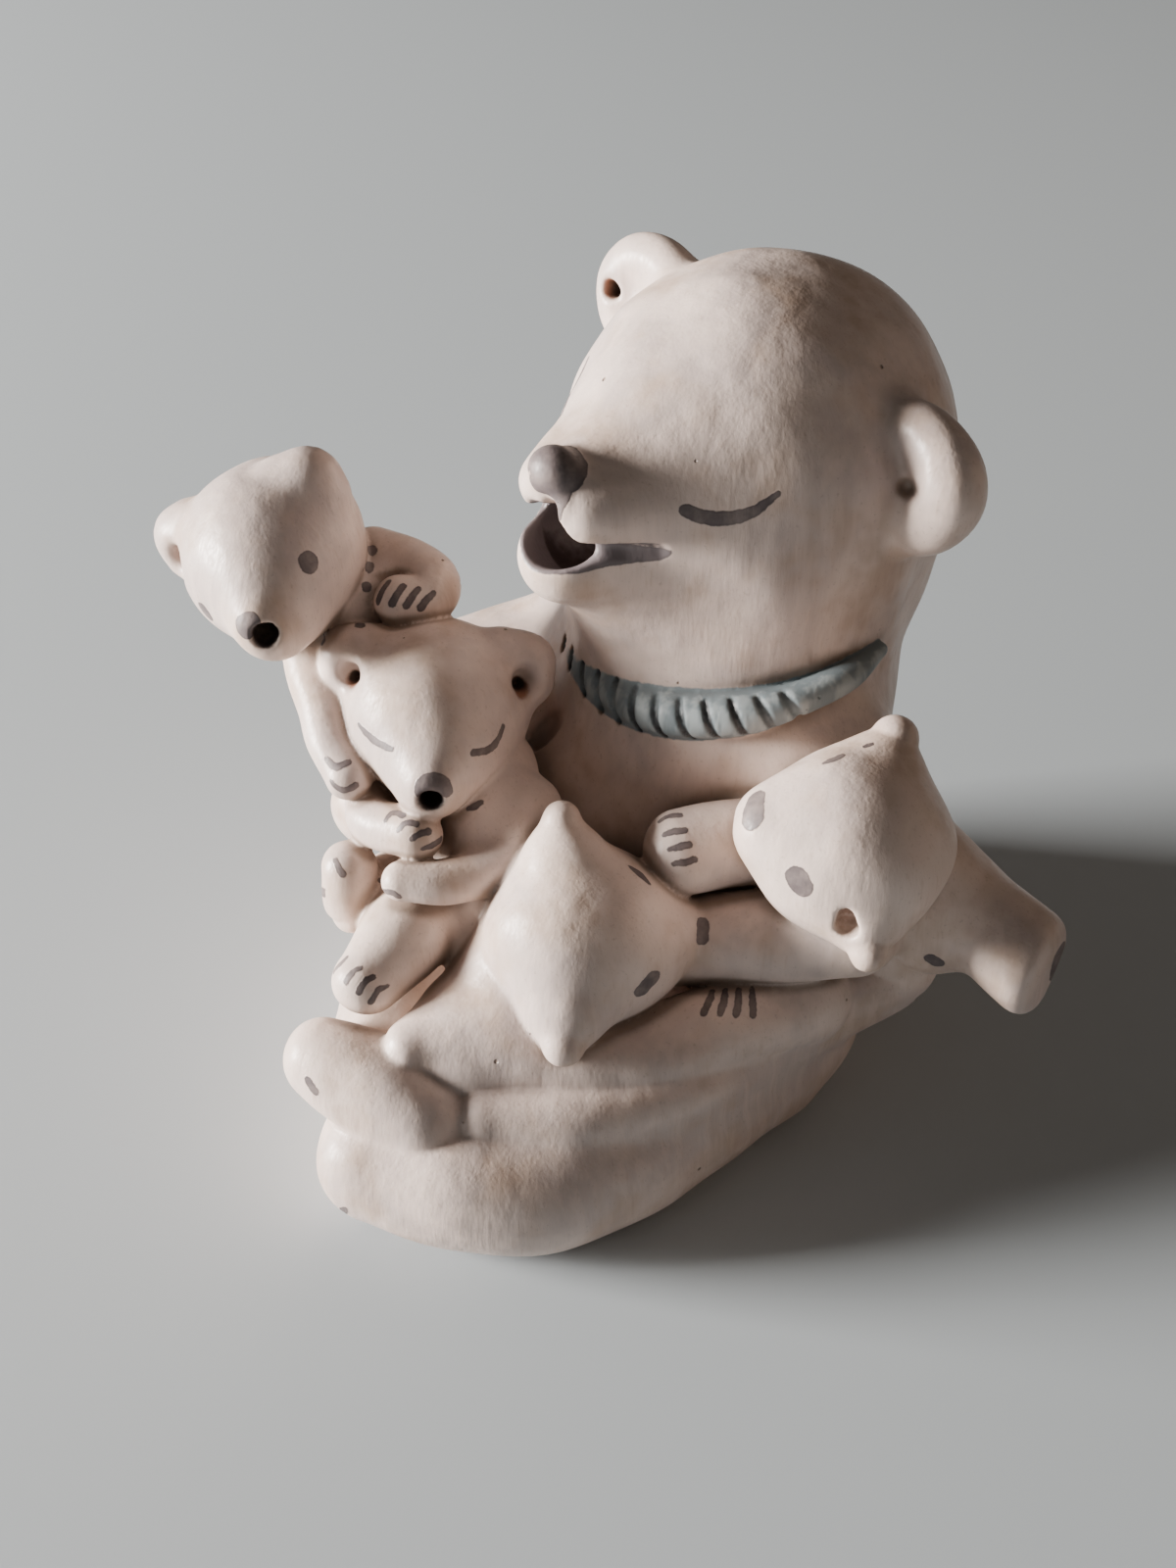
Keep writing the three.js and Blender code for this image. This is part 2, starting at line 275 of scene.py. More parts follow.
NECKLACE_REACH = math.radians(90)
NECK_MIDDLE = (2.3, 29.9)
NECK_RADIUS = 30.5
NECKLACE_LEVEL = 76.8
NECKLACE_RISE = 5.8
NECKLACE_BEND = 0.22
NICK_COUNT = 16
FIRST_NICK = -0.86
NICKED_LENGTH = 1.5
NICK_SLANT = 0.03
NICK_CUT = ((75, 0.45), (40, 0.68), (0, 0.7), (-38, 0.6), (-62, 0.4))


def on_neck(t, out=0.0, up=0.0):
    """A point of the necklace's middle line: t runs from -1 at her right to 1 at her left, and
    the line turns round the neck by t times its reach. Its height is a hyperbola's, level on
    her right and rising on her left."""
    turn = NECKLACE_REACH * t
    radius = NECK_RADIUS + out
    height = NECKLACE_LEVEL + NECKLACE_RISE * (t + math.hypot(t, NECKLACE_BEND)) + up
    return NECK_MIDDLE[0] + radius * math.sin(turn), NECK_MIDDLE[1] - radius * math.cos(turn), height


def necklace_radius(t):
    """Full in front and thin behind, by a power of the cosine."""
    return 0.9 + 3.5 * math.cos(1.53 * t) ** 0.6


necklace = Roll([(*on_neck(t), necklace_radius(t)) for t in np.linspace(-1, 1, 13)])
nicks = Lump()
figure_clay.join(necklace, 0.8)
for number in range(NICK_COUNT):
    middle = FIRST_NICK + NICKED_LENGTH * (number + 0.5) / NICK_COUNT
    size = necklace_radius(middle)
    rings = []
    for turn, radius in NICK_CUT:
        out, up = size * math.cos(math.radians(turn)), size * math.sin(math.radians(turn))
        rings.append((*on_neck(middle - NICK_SLANT * turn / 60, out, up), radius))
    nicks.join(Roll(rings), 0.1)
figure_clay.press(nicks, 0.3)

# The cubs. Each has a round head drawn out to a short muzzle and a small round singing mouth, on
# a body and limbs of short coils. Two have round ears, most of them thumbed to a dish, and two
# have ears drawn out to a blunt point, one of them with a slit in front.

CUB_HEAD = 17.5
small_mouths = Lump()


def round_ear(ring, side, out, front, up, full, pocket):
    """A flat lobe about its middle on the corner of the head, and, when it has a pocket, thumbed
    to a dish in front and pricked with the pocket."""
    root = Roll([ring(side * 0.45, -0.05, 0.25, 0.45),
                 ring(side * 0.84 * out, front + 0.02, 0.85 * up, 0.32)])
    rim = Roll([ring(side * (1.02 - 0.3 * full) * out, front, 1.27 * up, 0.17 * full),
                ring(side * out, front, 1.09 * up, 0.19 * full),
                ring(side * 1.05 * out, front + 0.04, 0.62 * up, 0.17 * full)])
    pressed = []
    if pocket:
        dish = Roll([ring(side * out, 0.34, 0.9 * up, 0.18),
                     ring(side * 0.88 * out, 0.12, 0.82 * up, 0.12)])
        hole = Roll([ring(side * 0.96 * out, 0.3, 0.72 * up, 0.085 * pocket),
                     ring(side * 0.84 * out, 0.02, 0.66 * up, 0.065 * pocket)])
        pressed = [(dish, 0.16), (hole, 0.05)]
    return [(root, 0.25), (rim, 0.2)], pressed


def drawn_out_ear(ring, side, out, front, up, tip, slit):
    """A cone drawn out of the head's corner to a blunt tip, sometimes with a slit in front."""
    cone = Roll([ring(0, -0.05, 0.06, 0.9), ring(side * 0.5 * out, 0.7 * front, 0.6 * up, 0.55),
                 ring(side * 0.83 * out, 0.94 * front, 0.86 * up, 0.29), ring(side * out, front, up, tip)])
    pressed = []
    if slit:
        pressed.append((Roll([ring(side * place, *rest) for place, *rest in slit]), 0.06))
    return [(cone, 0.1)], pressed


def mould_cub(centre, turn, nod, tip, muzzle, mouth, ears, limbs):
    """Rolls one cub and presses it onto the mother. The limbs come first, then the head, whose
    muzzle is drawn out by a share, with the mouth so far left of its tip and below it."""
    axes = head_axes(turn, nod, tip)

    def ring(left, front, up, radius):
        """A ring about a place of the cub's head, in shares of the head's radius."""
        return (*(np.asarray(centre) + CUB_HEAD * (np.array([left, front, up]) @ axes)), radius * CUB_HEAD)

    head = Lump()
    head.join(Ball(ring(0, -0.02, 0.03, 0)[:3], np.array([0.94, 0.98, 0.93]) * CUB_HEAD, axes), 2)
    snout = Roll([ring(0, 0.15, -0.02, 0.81), ring(0, 0.7 * muzzle, -0.14, 0.54),
                  ring(0, 1.02 * muzzle, -0.2, 0.34)])
    chin = Roll([ring(0, 0.4, -0.26, 0.5), ring(0, 0.94 * muzzle, -0.4 * muzzle, 0.34)])
    head.join(snout, 0.3 * CUB_HEAD)
    head.join(chin, 0.2 * CUB_HEAD)
    left, below = mouth
    mouth_hole = Roll([ring(left, 1.5 * muzzle, -below - 0.06, 0.13),
                       ring(left, 1.06 * muzzle, -below, 0.1)])
    small_mouths.join(mouth_hole, 0.1)
    hollows = [(mouth_hole, 0.06)]
    for side, (shape, *form_of_ear) in zip(BOTH_SIDES, ears):
        joined, pressed = shape(ring, side, *form_of_ear)
        hollows += pressed
        if pressed:
            shaded_bare_hollows.join(pressed[-1][0], 0.1)
        for form, reach in joined:
            head.join(form, reach * CUB_HEAD)
    for form, reach in hollows:
        head.press(form, reach * CUB_HEAD)
    cub = Lump()
    for rings, reach in limbs:
        cub.join(Roll(rings), reach)
    cub.join(head, 1)
    figure_clay.join(cub, 1)


# On her right arm, awake, with one arm along her shoulder
CUB_ON_RIGHT_ARM = ((-59.5, -32, 99.5), 36, 3, 30)
ears = [(round_ear, 0.85, -0.03, 0.53, 1.2, 0), (round_ear, 0.94, -0.16, 0.53, 1, 1)]
mould_cub(*CUB_ON_RIGHT_ARM, 1, (0.07, 0.25), ears, [
    ([(-51.5, -22, 85, 12), (-47.5, -26, 65, 11)], 4),
    ([(-51, -15.5, 94, 5.8), (-43, -13.5, 94.5, 5), (-37, -13.5, 93.5, 5), (-36, -18, 92, 4.9),
      (-38.5, -21.5, 92.5, 4.9)], (5, 0.8)),
    ([(-51.5, -32.5, 81, 5.6), (-47, -36, 78.5, 5.2), (-41.7, -38, 75.3, 5.4), (-36.8, -41.5, 72, 4.8),
      (-30.5, -43.5, 69, 4.9)], (3, 0.8)),
])

# On her right knee, asleep, hugging its own arms
CUB_ON_RIGHT_KNEE = ((-27.3, -24.5, 75), 45, 11, -5)
ears = [(round_ear, 1.0, -0.15, 0.55, 1.1, 1), (round_ear, 0.98, -0.16, 0.55, 1, 0.8)]
mould_cub(*CUB_ON_RIGHT_KNEE, 1, (0, 0.32), ears, [
    ([(-18, -24, 62, 12), (-10, -30.5, 55.5, 9.5), (-4.5, -38, 41.5, 7.5)], 4),
    ([(-21, -25.5, 59.5, 8), (-31, -35, 59.5, 6)], 4),
    ([(-21, -41, 46, 7), (-24, -50.5, 46, 6), (-25.5, -50, 53.5, 5)], (4, 0.8)),
    ([(-13.5, -41, 46.5, 7.5), (-11.5, -49.5, 46, 8), (-11, -60, 42.5, 6.5)], (4, 0.8)),
    ([(-6, -23, 62, 6.5), (-1.5, -32, 58.5, 5), (-5.5, -42.5, 58, 4.4), (-12, -49, 58.5, 4)], (3, 0.8)),
    ([(-32, -38.5, 61.5, 4.8), (-24.5, -43.5, 62, 4.9), (-14, -43, 64, 4.9)], (3, 0.8)),
])

# In her lap, lying across and looking over its shoulder
CUB_IN_LAP = ((15.5, -31, 50), 130, 2, 43)
mould_cub(*CUB_IN_LAP, 1, (0, 0.34), [(drawn_out_ear, 1.13, -0.18, 0.49, 0.2, ())] * 2, [
    ([(7.5, -31, 44.5, 14), (9.5, -43.5, 35, 13), (7.5, -51.5, 31, 11.5)], 4),
    ([(5.5, -53.5, 35, 8), (2, -62, 35.5, 5)], (4, 3)),
    ([(6, -46, 30, 11), (18, -44.5, 32, 9), (31, -34, 31.5, 7.8), (39.5, -19, 33.5, 8.4),
      (46, -4, 34, 9)], (6, 1)),
])

# On her left arm, leaning in with its head turned on its side
CUB_ON_LEFT_ARM = ((48.9, 1, 70.7), -24, 34, -52)
EAR_SLIT = [(0.72, 0.37, 0.41, 0.045), (0.82, 0.25, 0.34, 0.085), (0.93, 0.29, 0.36, 0.05)]
ears = [(drawn_out_ear, 1.06, -0.06, 0.37, 0.21, EAR_SLIT), (drawn_out_ear, 1.06, -0.06, 0.37, 0.22, ())]
mould_cub(*CUB_ON_LEFT_ARM, 0.84, (0, 0.66), ears, [
    ([(51, 14.5, 59, 12), (59, 17.5, 49.5, 12)], 4),
    ([(44, 12, 60, 8), (30, -2, 62, 8), (23, -13, 62, 7.5)], (5, 0.8)),
    ([(52, 0, 53, 9), (42, -6, 48.5, 8.8), (26, -16, 44.5, 8.5)], (5, 0.8)),
    ([(58, 17, 54, 9.5), (66, 18.5, 51.5, 9.2), (84, 17, 48.5, 9.2)], (5, 2)),
])
SOLE_LEVEL = 82.2
figure_clay.press(Flat(SOLE_LEVEL, 0, 1), 4.5)

# The last presses: a deep gap left open between the sleeping cub's head and her chest, and then
# the flat underside on which the figure dries and stands, with a softly rubbed edge.

figure_clay.press(Roll([(-14, -5.5, 70, 1.4), (-16.5, -5.5, 66, 2.6), (-17.5, -7.5, 60.5, 2)]), 1)
figure_clay.press(Flat(0.0, 2, -1), 1.2)

# The skin of the clay. The field is worked out on a coarse grid, then on a fine one wherever the
# surface may pass, and the mesh is laid through the fine cells.

CELL = 0.6
STEPS = 4
ROOM_LOW = np.array([-87.6, -90.0, -4.8])
ROOM_SIZE = np.array([72, 70, 68])
POINTS_AT_ONCE = 400000
WAVE_COUNT = 9
WAVE_HEIGHT = 0.13

hand = np.random.default_rng(7)
WAVES = hand.normal(size=(WAVE_COUNT, 3))
WAVES *= (2 * math.pi / hand.uniform(13, 38, WAVE_COUNT) / np.linalg.norm(WAVES, axis=1))[:, None]
PHASES = hand.uniform(0, 2 * math.pi, WAVE_COUNT)


def field_at(points):
    """The clay's field, worked out a part of the list at a time, with a hand's slow unevenness
    added: the sum of a few waves in seeded directions, fading out at the flat underside."""
    total = np.empty(len(points), np.float32)
    for start in range(0, len(points), POINTS_AT_ONCE):
        part = points[start:start + POINTS_AT_ONCE]
        uneven = WAVE_HEIGHT * np.sin(part @ WAVES.T + PHASES).sum(1) * np.clip(part[:, 2] / 6, 0, 1)
        total[start:start + POINTS_AT_ONCE] = figure_clay.distance(part) + uneven
    return total


node = np.stack(np.meshgrid(*[np.arange(n) for n in ROOM_SIZE + 1], indexing="ij"), -1)
coarse = field_at((ROOM_LOW + node.reshape(-1, 3) * CELL * STEPS).astype(np.float32)).reshape(ROOM_SIZE + 1)
nearest = np.full(ROOM_SIZE, FAR, np.float32)
for corner in range(8):
    i, j, k = corner >> 2 & 1, corner >> 1 & 1, corner & 1
    block = coarse[i:ROOM_SIZE[0] + i, j:ROOM_SIZE[1] + j, k:ROOM_SIZE[2] + k]
    nearest = np.minimum(nearest, np.abs(block))
passed = nearest < 1.3 * CELL * STEPS
fine_size = ROOM_SIZE * STEPS + 1
wanted = np.zeros(fine_size, bool)
gap = np.full(fine_size, FAR, np.float32)
for corner in range(8):
    i, j, k = corner >> 2 & 1, corner >> 1 & 1, corner & 1
    where = (slice(i, fine_size[0] - 1 + i), slice(j, fine_size[1] - 1 + j), slice(k, fine_size[2] - 1 + k))
    wanted[where] |= passed.repeat(STEPS, 0).repeat(STEPS, 1).repeat(STEPS, 2)
    if corner == 0:
        gap[where] = np.sign(coarse[:-1, :-1, :-1]).repeat(STEPS, 0).repeat(STEPS, 1).repeat(STEPS, 2) * FAR
places = np.argwhere(wanted)
gap[wanted] = field_at((ROOM_LOW + places * CELL).astype(np.float32))


def sample(points):
    """The field at any points, read between the eight cells around each by the share of the
    way along each side."""
    place = np.clip((points - ROOM_LOW) / CELL, 0, fine_size - 1.001)
    cell = np.floor(place).astype(int)
    t = place - cell
    value = 0
    for corner in range(8):
        step = np.array([corner >> 2 & 1, corner >> 1 & 1, corner & 1])
        weight = np.prod(np.where(step, t, 1 - t), 1)
        i, j, k = (cell + step).T
        value = value + weight * gap[i, j, k]
    return value


def slope(points):
    """The field's rate of change along each axis, from steps of one cell either way."""
    steps = np.eye(3) * CELL
    return np.stack([(sample(points + step) - sample(points - step)) / (2 * CELL) for step in steps], 1)


def onto_surface(points, rounds=2):
    """Moves points along the slope by their distance over its length, onto the clay."""
    for _ in range(rounds):
        way = slope(points)
        points = points - way * (sample(points) / (np.einsum("ij,ij->i", way, way) + 1e-9))[:, None]
    return points


def skin_of(gap):
    """Corners and four-sided faces of the zero surface: one corner in each cell that it passes
    through, at the mean of its crossings of the cell's edges, and one face round each crossed
    edge, wound so that it faces out of the clay."""
    inside = gap < 0
    size = np.array(gap.shape) - 1
    corner_count = np.zeros(size, np.int8)
    for corner in range(8):
        i, j, k = corner >> 2 & 1, corner >> 1 & 1, corner & 1
        corner_count += inside[i:size[0] + i, j:size[1] + j, k:size[2] + k]
    cells = np.argwhere((corner_count > 0) & (corner_count < 8))
    number = np.full(size, -1, np.int32)
    number[tuple(cells.T)] = np.arange(len(cells))
    total = np.zeros((len(cells), 3))
    crossings = np.zeros(len(cells))
    for axis in range(3):
        for a in (0, 1):
            for b in (0, 1):
                start = np.insert([a, b], axis, 0)
                end = np.insert([a, b], axis, 1)
                one = gap[tuple((cells + start).T)]
                two = gap[tuple((cells + end).T)]
                crossed = (one < 0) != (two < 0)
                share = np.where(crossed, one / np.where(crossed, one - two, 1), 0)
                total += np.where(crossed[:, None], start + share[:, None] * (end - start), 0)
                crossings += crossed
    corners = (cells + total / crossings[:, None]) * CELL + ROOM_LOW
    faces = []
    for axis in range(3):
        along = [slice(None)] * 3
        along[axis] = slice(0, -1)
        ahead = [slice(None)] * 3
        ahead[axis] = slice(1, None)
        crossed = inside[tuple(along)] != inside[tuple(ahead)]
        edges = np.argwhere(crossed)
        b, c = (axis + 1) % 3, (axis + 2) % 3
        step_b, step_c = np.eye(3, dtype=int)[b], np.eye(3, dtype=int)[c]
        ring = [edges - step_b - step_c, edges - step_c, edges, edges - step_b]
        quad = np.stack([number[tuple(cell.T)] for cell in ring], 1)
        leaving = inside[tuple(edges.T)]
        quad[~leaving] = quad[~leaving][:, ::-1]
        faces.append(quad)
    return corners, np.concatenate(faces)


def outer_skin(corners, faces):
    """The largest sheet of faces that hang together, without the bubbles shut in between the
    forms. Each corner takes the lowest number met round its faces, until none changes."""
    sheet = np.arange(len(corners))
    while True:
        lowest = sheet[faces].min(1)
        joined = sheet.copy()
        for i in range(4):
            np.minimum.at(joined, faces[:, i], lowest)
        joined = joined[joined]
        if (joined == sheet).all():
            break
        sheet = joined
    sheet_of_face = sheet[faces[:, 0]]
    kept = faces[sheet_of_face == np.bincount(sheet_of_face).argmax()]
    used, kept = np.unique(kept, return_inverse=True)
    return corners[used], kept.reshape(-1, 4)


def even_out(corners, faces, rounds=3):
    """Moves each corner halfway to the mean of its neighbours, then back onto the surface."""
    ring = np.concatenate([faces[:, [0, 1]], faces[:, [1, 2]], faces[:, [2, 3]], faces[:, [3, 0]]])
    ring = np.concatenate([ring, ring[:, ::-1]])
    count = np.bincount(ring[:, 0], minlength=len(corners))
    for _ in range(rounds):
        ahead = corners[ring[:, 1]]
        total = np.stack([np.bincount(ring[:, 0], ahead[:, i], len(corners)) for i in range(3)], 1)
        corners = onto_surface((corners + total / count[:, None]) / 2, 1)
    return corners


corners, faces = outer_skin(*skin_of(gap))
corners = even_out(corners, faces)

# The painted marks, brushed on in a grey-purple of iron and manganese, and the blue-grey of the
# necklace. A mark is a tapered stroke laid along a few points of the clay, kept as the distance
# to its edge. Those in view are placed by sight lines through a 1200 by 1600 picture of it.

CAMERA_TURN = math.radians(42)
CAMERA_LIFT = math.radians(40)
CAMERA_DISTANCE = 375.0
PICTURE_LENS = 1800.0
PICTURE_MIDDLE = (600, 800)
ORIGIN_IN_PICTURE = (640, 1010)
sight_right = np.array([math.cos(CAMERA_TURN), math.sin(CAMERA_TURN), 0])
sight_back = np.array([math.sin(CAMERA_TURN) * math.cos(CAMERA_LIFT),
                       -math.cos(CAMERA_TURN) * math.cos(CAMERA_LIFT), math.sin(CAMERA_LIFT)])
sight_up = np.cross(sight_back, sight_right)
PIXELS_PER_LENGTH = PICTURE_LENS / CAMERA_DISTANCE
sight_from = (CAMERA_DISTANCE * sight_back
              - (ORIGIN_IN_PICTURE[0] - PICTURE_MIDDLE[0]) / PIXELS_PER_LENGTH * sight_right
              + (ORIGIN_IN_PICTURE[1] - PICTURE_MIDDLE[1]) / PIXELS_PER_LENGTH * sight_up)


def met_by_sight(*pixels):
    """Points where sight lines through pixels of the picture meet the clay: each line is walked
    in half cells from in front, and its first step inside is slid back onto the surface."""
    across = (np.array(pixels, float) - PICTURE_MIDDLE) / PICTURE_LENS
    way = across[:, :1] * sight_right - across[:, 1:] * sight_up - sight_back
    walk = sight_from + way[:, None] * np.arange(270, 470, CELL / 2)[:, None]
    first = (sample(walk.reshape(-1, 3)).reshape(walk.shape[:2]) < 0).argmax(1)
    return onto_surface(walk[np.arange(len(pixels)), first], 3)


def brush(paint, points, half_width):
    """Lays a stroke along points of the clay, with one half width or one at each point."""
    widths = np.broadcast_to(half_width, len(points))
    paint.join(Roll(np.column_stack([points, widths])), 0.2)


def claws(first, last, count, half_width=0.62):
    """Strokes in a row across a paw, spaced evenly from the first one to the last."""
    for share in np.linspace(0, 1, count):
        stroke = (1 - share) * np.array(first, float) + share * np.array(last, float)
        taper = np.full(len(stroke), half_width)
        taper[0] *= 0.75
        brush(grey_purple, met_by_sight(*stroke), taper)


def mirrored(points, centre, axes):
    """Points of one side of a head carried to its other side, and slid onto the clay."""
    local = (points - centre) @ axes.T * (-1, 1, 1)
    return onto_surface(centre + local @ axes, 5)


grey_purple = Lump()

# The mother's closed eyes, nose and sole pads
closed_eye = met_by_sight((699, 521), (716, 527), (740, 529), (768, 522), (794, 503))
for eye in (closed_eye, mirrored(closed_eye, HEAD_CENTRE, HEAD_AXES)):
    brush(grey_purple, eye, (1.15, 1.3, 1.3, 1.05, 0.5))
brush(grey_purple, [on_head(-1.2, 52, 2.2), on_head(1.2, 52.4, 1.8)], 4.5)
brush(grey_purple, met_by_sight((577, 492), (572, 510), (570, 526)), (1.6, 1.2, 0.8))
brush(grey_purple, met_by_sight((545, 494), (558, 497), (571, 505)), (1.6, 2.0, 1.8))
brush(grey_purple, met_by_sight((314, 1103), (322, 1113)), 0.9)
brush(grey_purple, met_by_sight((350, 1236), (357, 1241)), 0.9)

# The cub on her right arm: round eyes, nose, a dotted necklace and claws
near_eye = met_by_sight((314, 573), (315, 575))
for eye in (near_eye, mirrored(near_eye, np.array(CUB_ON_RIGHT_ARM[0]), head_axes(*CUB_ON_RIGHT_ARM[1:]))):
    brush(grey_purple, eye, 1.9)
brush(grey_purple, met_by_sight((250, 640), (254, 637)), (2.4, 2.3))
for dot in ((380, 561), (376, 578), (374, 598), (367, 637), (330, 652)):
    brush(grey_purple, met_by_sight(dot, (dot[0], dot[1] + 2)), 0.95)
claws([(397, 594), (391, 602), (386, 614)], [(442, 605), (436, 611), (429, 620)], 4, 0.75)
claws([(333, 774), (343, 783), (355, 778)], [(338, 797), (350, 806), (363, 801)], 2, 0.7)

# The cub on her right knee: closed eyes, nose and claws
brush(grey_purple, met_by_sight((367, 740), (378, 752), (388, 759), (400, 764)), (0.55, 0.8, 0.8, 0.6))
brush(grey_purple, met_by_sight((482, 768), (497, 765), (508, 755), (513, 741)), (0.6, 0.8, 0.8, 0.5))
brush(grey_purple, met_by_sight((430, 808), (436, 800), (448, 800), (456, 808)), (1.4, 1.9, 1.9, 1.3))
brush(grey_purple, met_by_sight((477, 826), (484, 823), (491, 819)), (0.4, 0.7, 0.5))
claws([(394, 838), (402, 829), (412, 833)], [(431, 866), (442, 862), (450, 856)], 4, 0.68)
claws([(388, 899), (396, 910), (407, 915)], [(386, 911), (395, 921), (405, 924)], 1, 0.7)
claws([(342, 878), (346, 886), (350, 892)], [(328, 904), (329, 909), (331, 912)], 2, 0.7)
claws([(354, 978), (347, 984), (341, 991)], [(395, 1006), (385, 1011), (378, 1023)], 4, 0.65)

# The cub in her lap: nose, mouth, eyes and the claws of its foot
brush(grey_purple, met_by_sight((716, 943), (716, 957)), 1.3)
brush(grey_purple, met_by_sight((642, 884), (653, 893), (662, 902)), (0.4, 0.9, 0.4))
brush(grey_purple, met_by_sight((656, 1009), (665, 999)), 1.8)
claws([(727, 1011), (724, 1022), (718, 1034)], [(767, 1009), (768, 1020), (768, 1036)], 4, 0.7)

# The cub on her left arm: nose, eyes, the claws of its hand, a sole pad and two stray marks
brush(grey_purple, met_by_sight((771, 815), (767, 834)), (1.9, 2.3))
brush(grey_purple, met_by_sight((813, 896), (817, 904)), 2.2)
brush(grey_purple, met_by_sight((841, 779), (851, 775), (860, 771)), (0.5, 0.8, 0.5))
brush(grey_purple, met_by_sight((882, 763), (890, 759)), 0.45)
claws([(673, 838), (683, 833), (694, 833)], [(688, 881), (698, 880), (708, 877)], 4, 0.7)
brush(grey_purple, met_by_sight((950, 978), (957, 982)), 1.3)
brush(grey_purple, onto_surface(np.array([[82, 21, 51], [82, 21.5, 46.5]]), 4), 2.4)

# The skin as a mesh: thinned to a weight that a library carries, but kept fine along the marks,
# the necklace and the hollows.

HOLLOW_COLOUR_REACH = 0.35
NEAR_A_MARK = 1.6
PLAIN_CLAY_FIRST = 6.0
FACE_LIMIT = 192000


def clay_marks(points):
    """For points of the clay, the distance to the edge of each kind of mark, below zero within
    it, and how open the place is: the mean field a little way out, as a share of the way."""
    points = points.astype(np.float32)
    ways = slope(points)
    ways /= np.linalg.norm(ways, axis=1)[:, None] + 1e-9
    # How open a place is also sets the painted shade in creases and deep hollows.
    open_share = sum(np.clip(sample(points + ways * far) / far, 0, 1) for far in (1.5, 3, 5)) / 3
    throat = np.minimum(SMILE.distance(points), THROAT.distance(points))
    local = (points - HEAD_CENTRE) @ HEAD_AXES.T
    # The deep throat and the cubs' small mouths are painted near-black: bare clay in painted shade.
    deep = np.maximum(throat - HOLLOW_COLOUR_REACH, np.maximum(local[:, 1] - 45, np.abs(local[:, 0]) - 6.5))
    lower = np.maximum(throat - 1.1, local[:, 2] + 11.6 - 0.17 * np.abs(local[:, 0]))
    return {
        "grey_purple": grey_purple.distance(points),
        "mouth_lining": np.minimum(lower, throat - 0.25),
        "necklace": necklace.distance(points) - 0.55,
        "nick": nicks.distance(points) - 0.05,
        "shaded_bare_clay": shaded_bare_hollows.distance(points) - HOLLOW_COLOUR_REACH,
        "throat": np.minimum(deep, small_mouths.distance(points) - HOLLOW_COLOUR_REACH),
        "open_share": open_share,
    }


mesh = bpy.data.meshes.new("clay_figure")
mesh.vertices.add(len(corners))
mesh.vertices.foreach_set("co", (corners * SHARE).astype(np.float32).ravel())
mesh.loops.add(faces.size)
mesh.loops.foreach_set("vertex_index", faces.astype(np.int32).ravel())
mesh.polygons.add(len(faces))
mesh.polygons.foreach_set("loop_start", np.arange(0, faces.size, 4, dtype=np.int32))
mesh.update(calc_edges=True)
mesh.validate()
figure = bpy.data.objects.new("clay_figure", mesh)
bpy.context.scene.collection.objects.link(figure)

marks = clay_marks(corners)
kept_fine = ("grey_purple", "mouth_lining", "nick", "shaded_bare_clay", "throat")
to_mark = np.minimum.reduce([np.abs(marks[kind]) for kind in kept_fine])
plain = figure.vertex_groups.new(name="plain_clay")
plain.add(np.flatnonzero(to_mark > NEAR_A_MARK).tolist(), 1.0, "REPLACE")
thin = figure.modifiers.new("thin", "DECIMATE")
thin.ratio = min(1.0, FACE_LIMIT / (2 * len(faces)))
thin.vertex_group = "plain_clay"
thin.vertex_group_factor = PLAIN_CLAY_FIRST
bpy.context.view_layer.update()
evaluated = figure.evaluated_get(bpy.context.evaluated_depsgraph_get())
thinned = bpy.data.meshes.new_from_object(evaluated)
figure.modifiers.clear()
figure.vertex_groups.clear()
figure.data = thinned
thinned.name = "clay_figure"
thinned.polygons.foreach_set("use_smooth", np.ones(len(thinned.polygons), bool))
places = np.empty(len(thinned.vertices) * 3, np.float32)
thinned.vertices.foreach_get("co", places)
for kind, values in clay_marks(places.reshape(-1, 3) / SHARE).items():
    thinned.attributes.new(kind, "FLOAT", "POINT").data.foreach_set("value", values.astype(np.float32))

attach(figure, "root")
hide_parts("figure")

# The slip: a thin off-white clay wash, brushed on and rubbed with a rag to a dull sheen. It shows
# fine streaks of the brush, pinholes, warmer clay where it is thin, specks of dust, and painted
# shade darkening the creases. The paint is worn at its edges. The clay in the mouths and ear
# pockets is bare, and painted shade darkens it where it lies deep, to near-black in the throats.

CLAY_WARM = (0.50, 0.355, 0.26, 1)
SLIP_PALE = (0.78, 0.64, 0.57, 1)
SLIP_GREY = (0.57, 0.475, 0.44, 1)
DUST_AND_CREASE_SHADE = (0.20, 0.14, 0.10, 1)
PAINT_GREY_PURPLE = (0.105, 0.086, 0.090, 1)
PAINT_EDGE = (0.058, 0.047, 0.052, 1)
PAINT_LINING = (0.145, 0.125, 0.135, 1)
PAINT_BLUE_GREY = (0.19, 0.235, 0.255, 1)
PAINT_WORN_BLUE = (0.33, 0.38, 0.395, 1)
NICK_SHADE = (0.035, 0.038, 0.042, 1)
BARE_RED = (0.28, 0.135, 0.085, 1)
PAINTED_SHADE_IN_POCKETS = (0.030, 0.017, 0.011, 1)
THROAT_PAINTED_SHADE = (0.045, 0.030, 0.028, 1)
ROUGH_RUBBED = 0.33
ROUGH_STREAKED = 0.47
ROUGHER_PAINT = 0.10
ROUGHER_CREASE = 0.2
FINE_STREAK_RELIEF = 0.00006
BROAD_STREAK_RELIEF = 0.00013
DENT_RELIEF = 0.0011
GRIT_RELIEF = 0.00002
PIT_DEPTH = 0.0006
PAINT_RELIEF = 0.00006


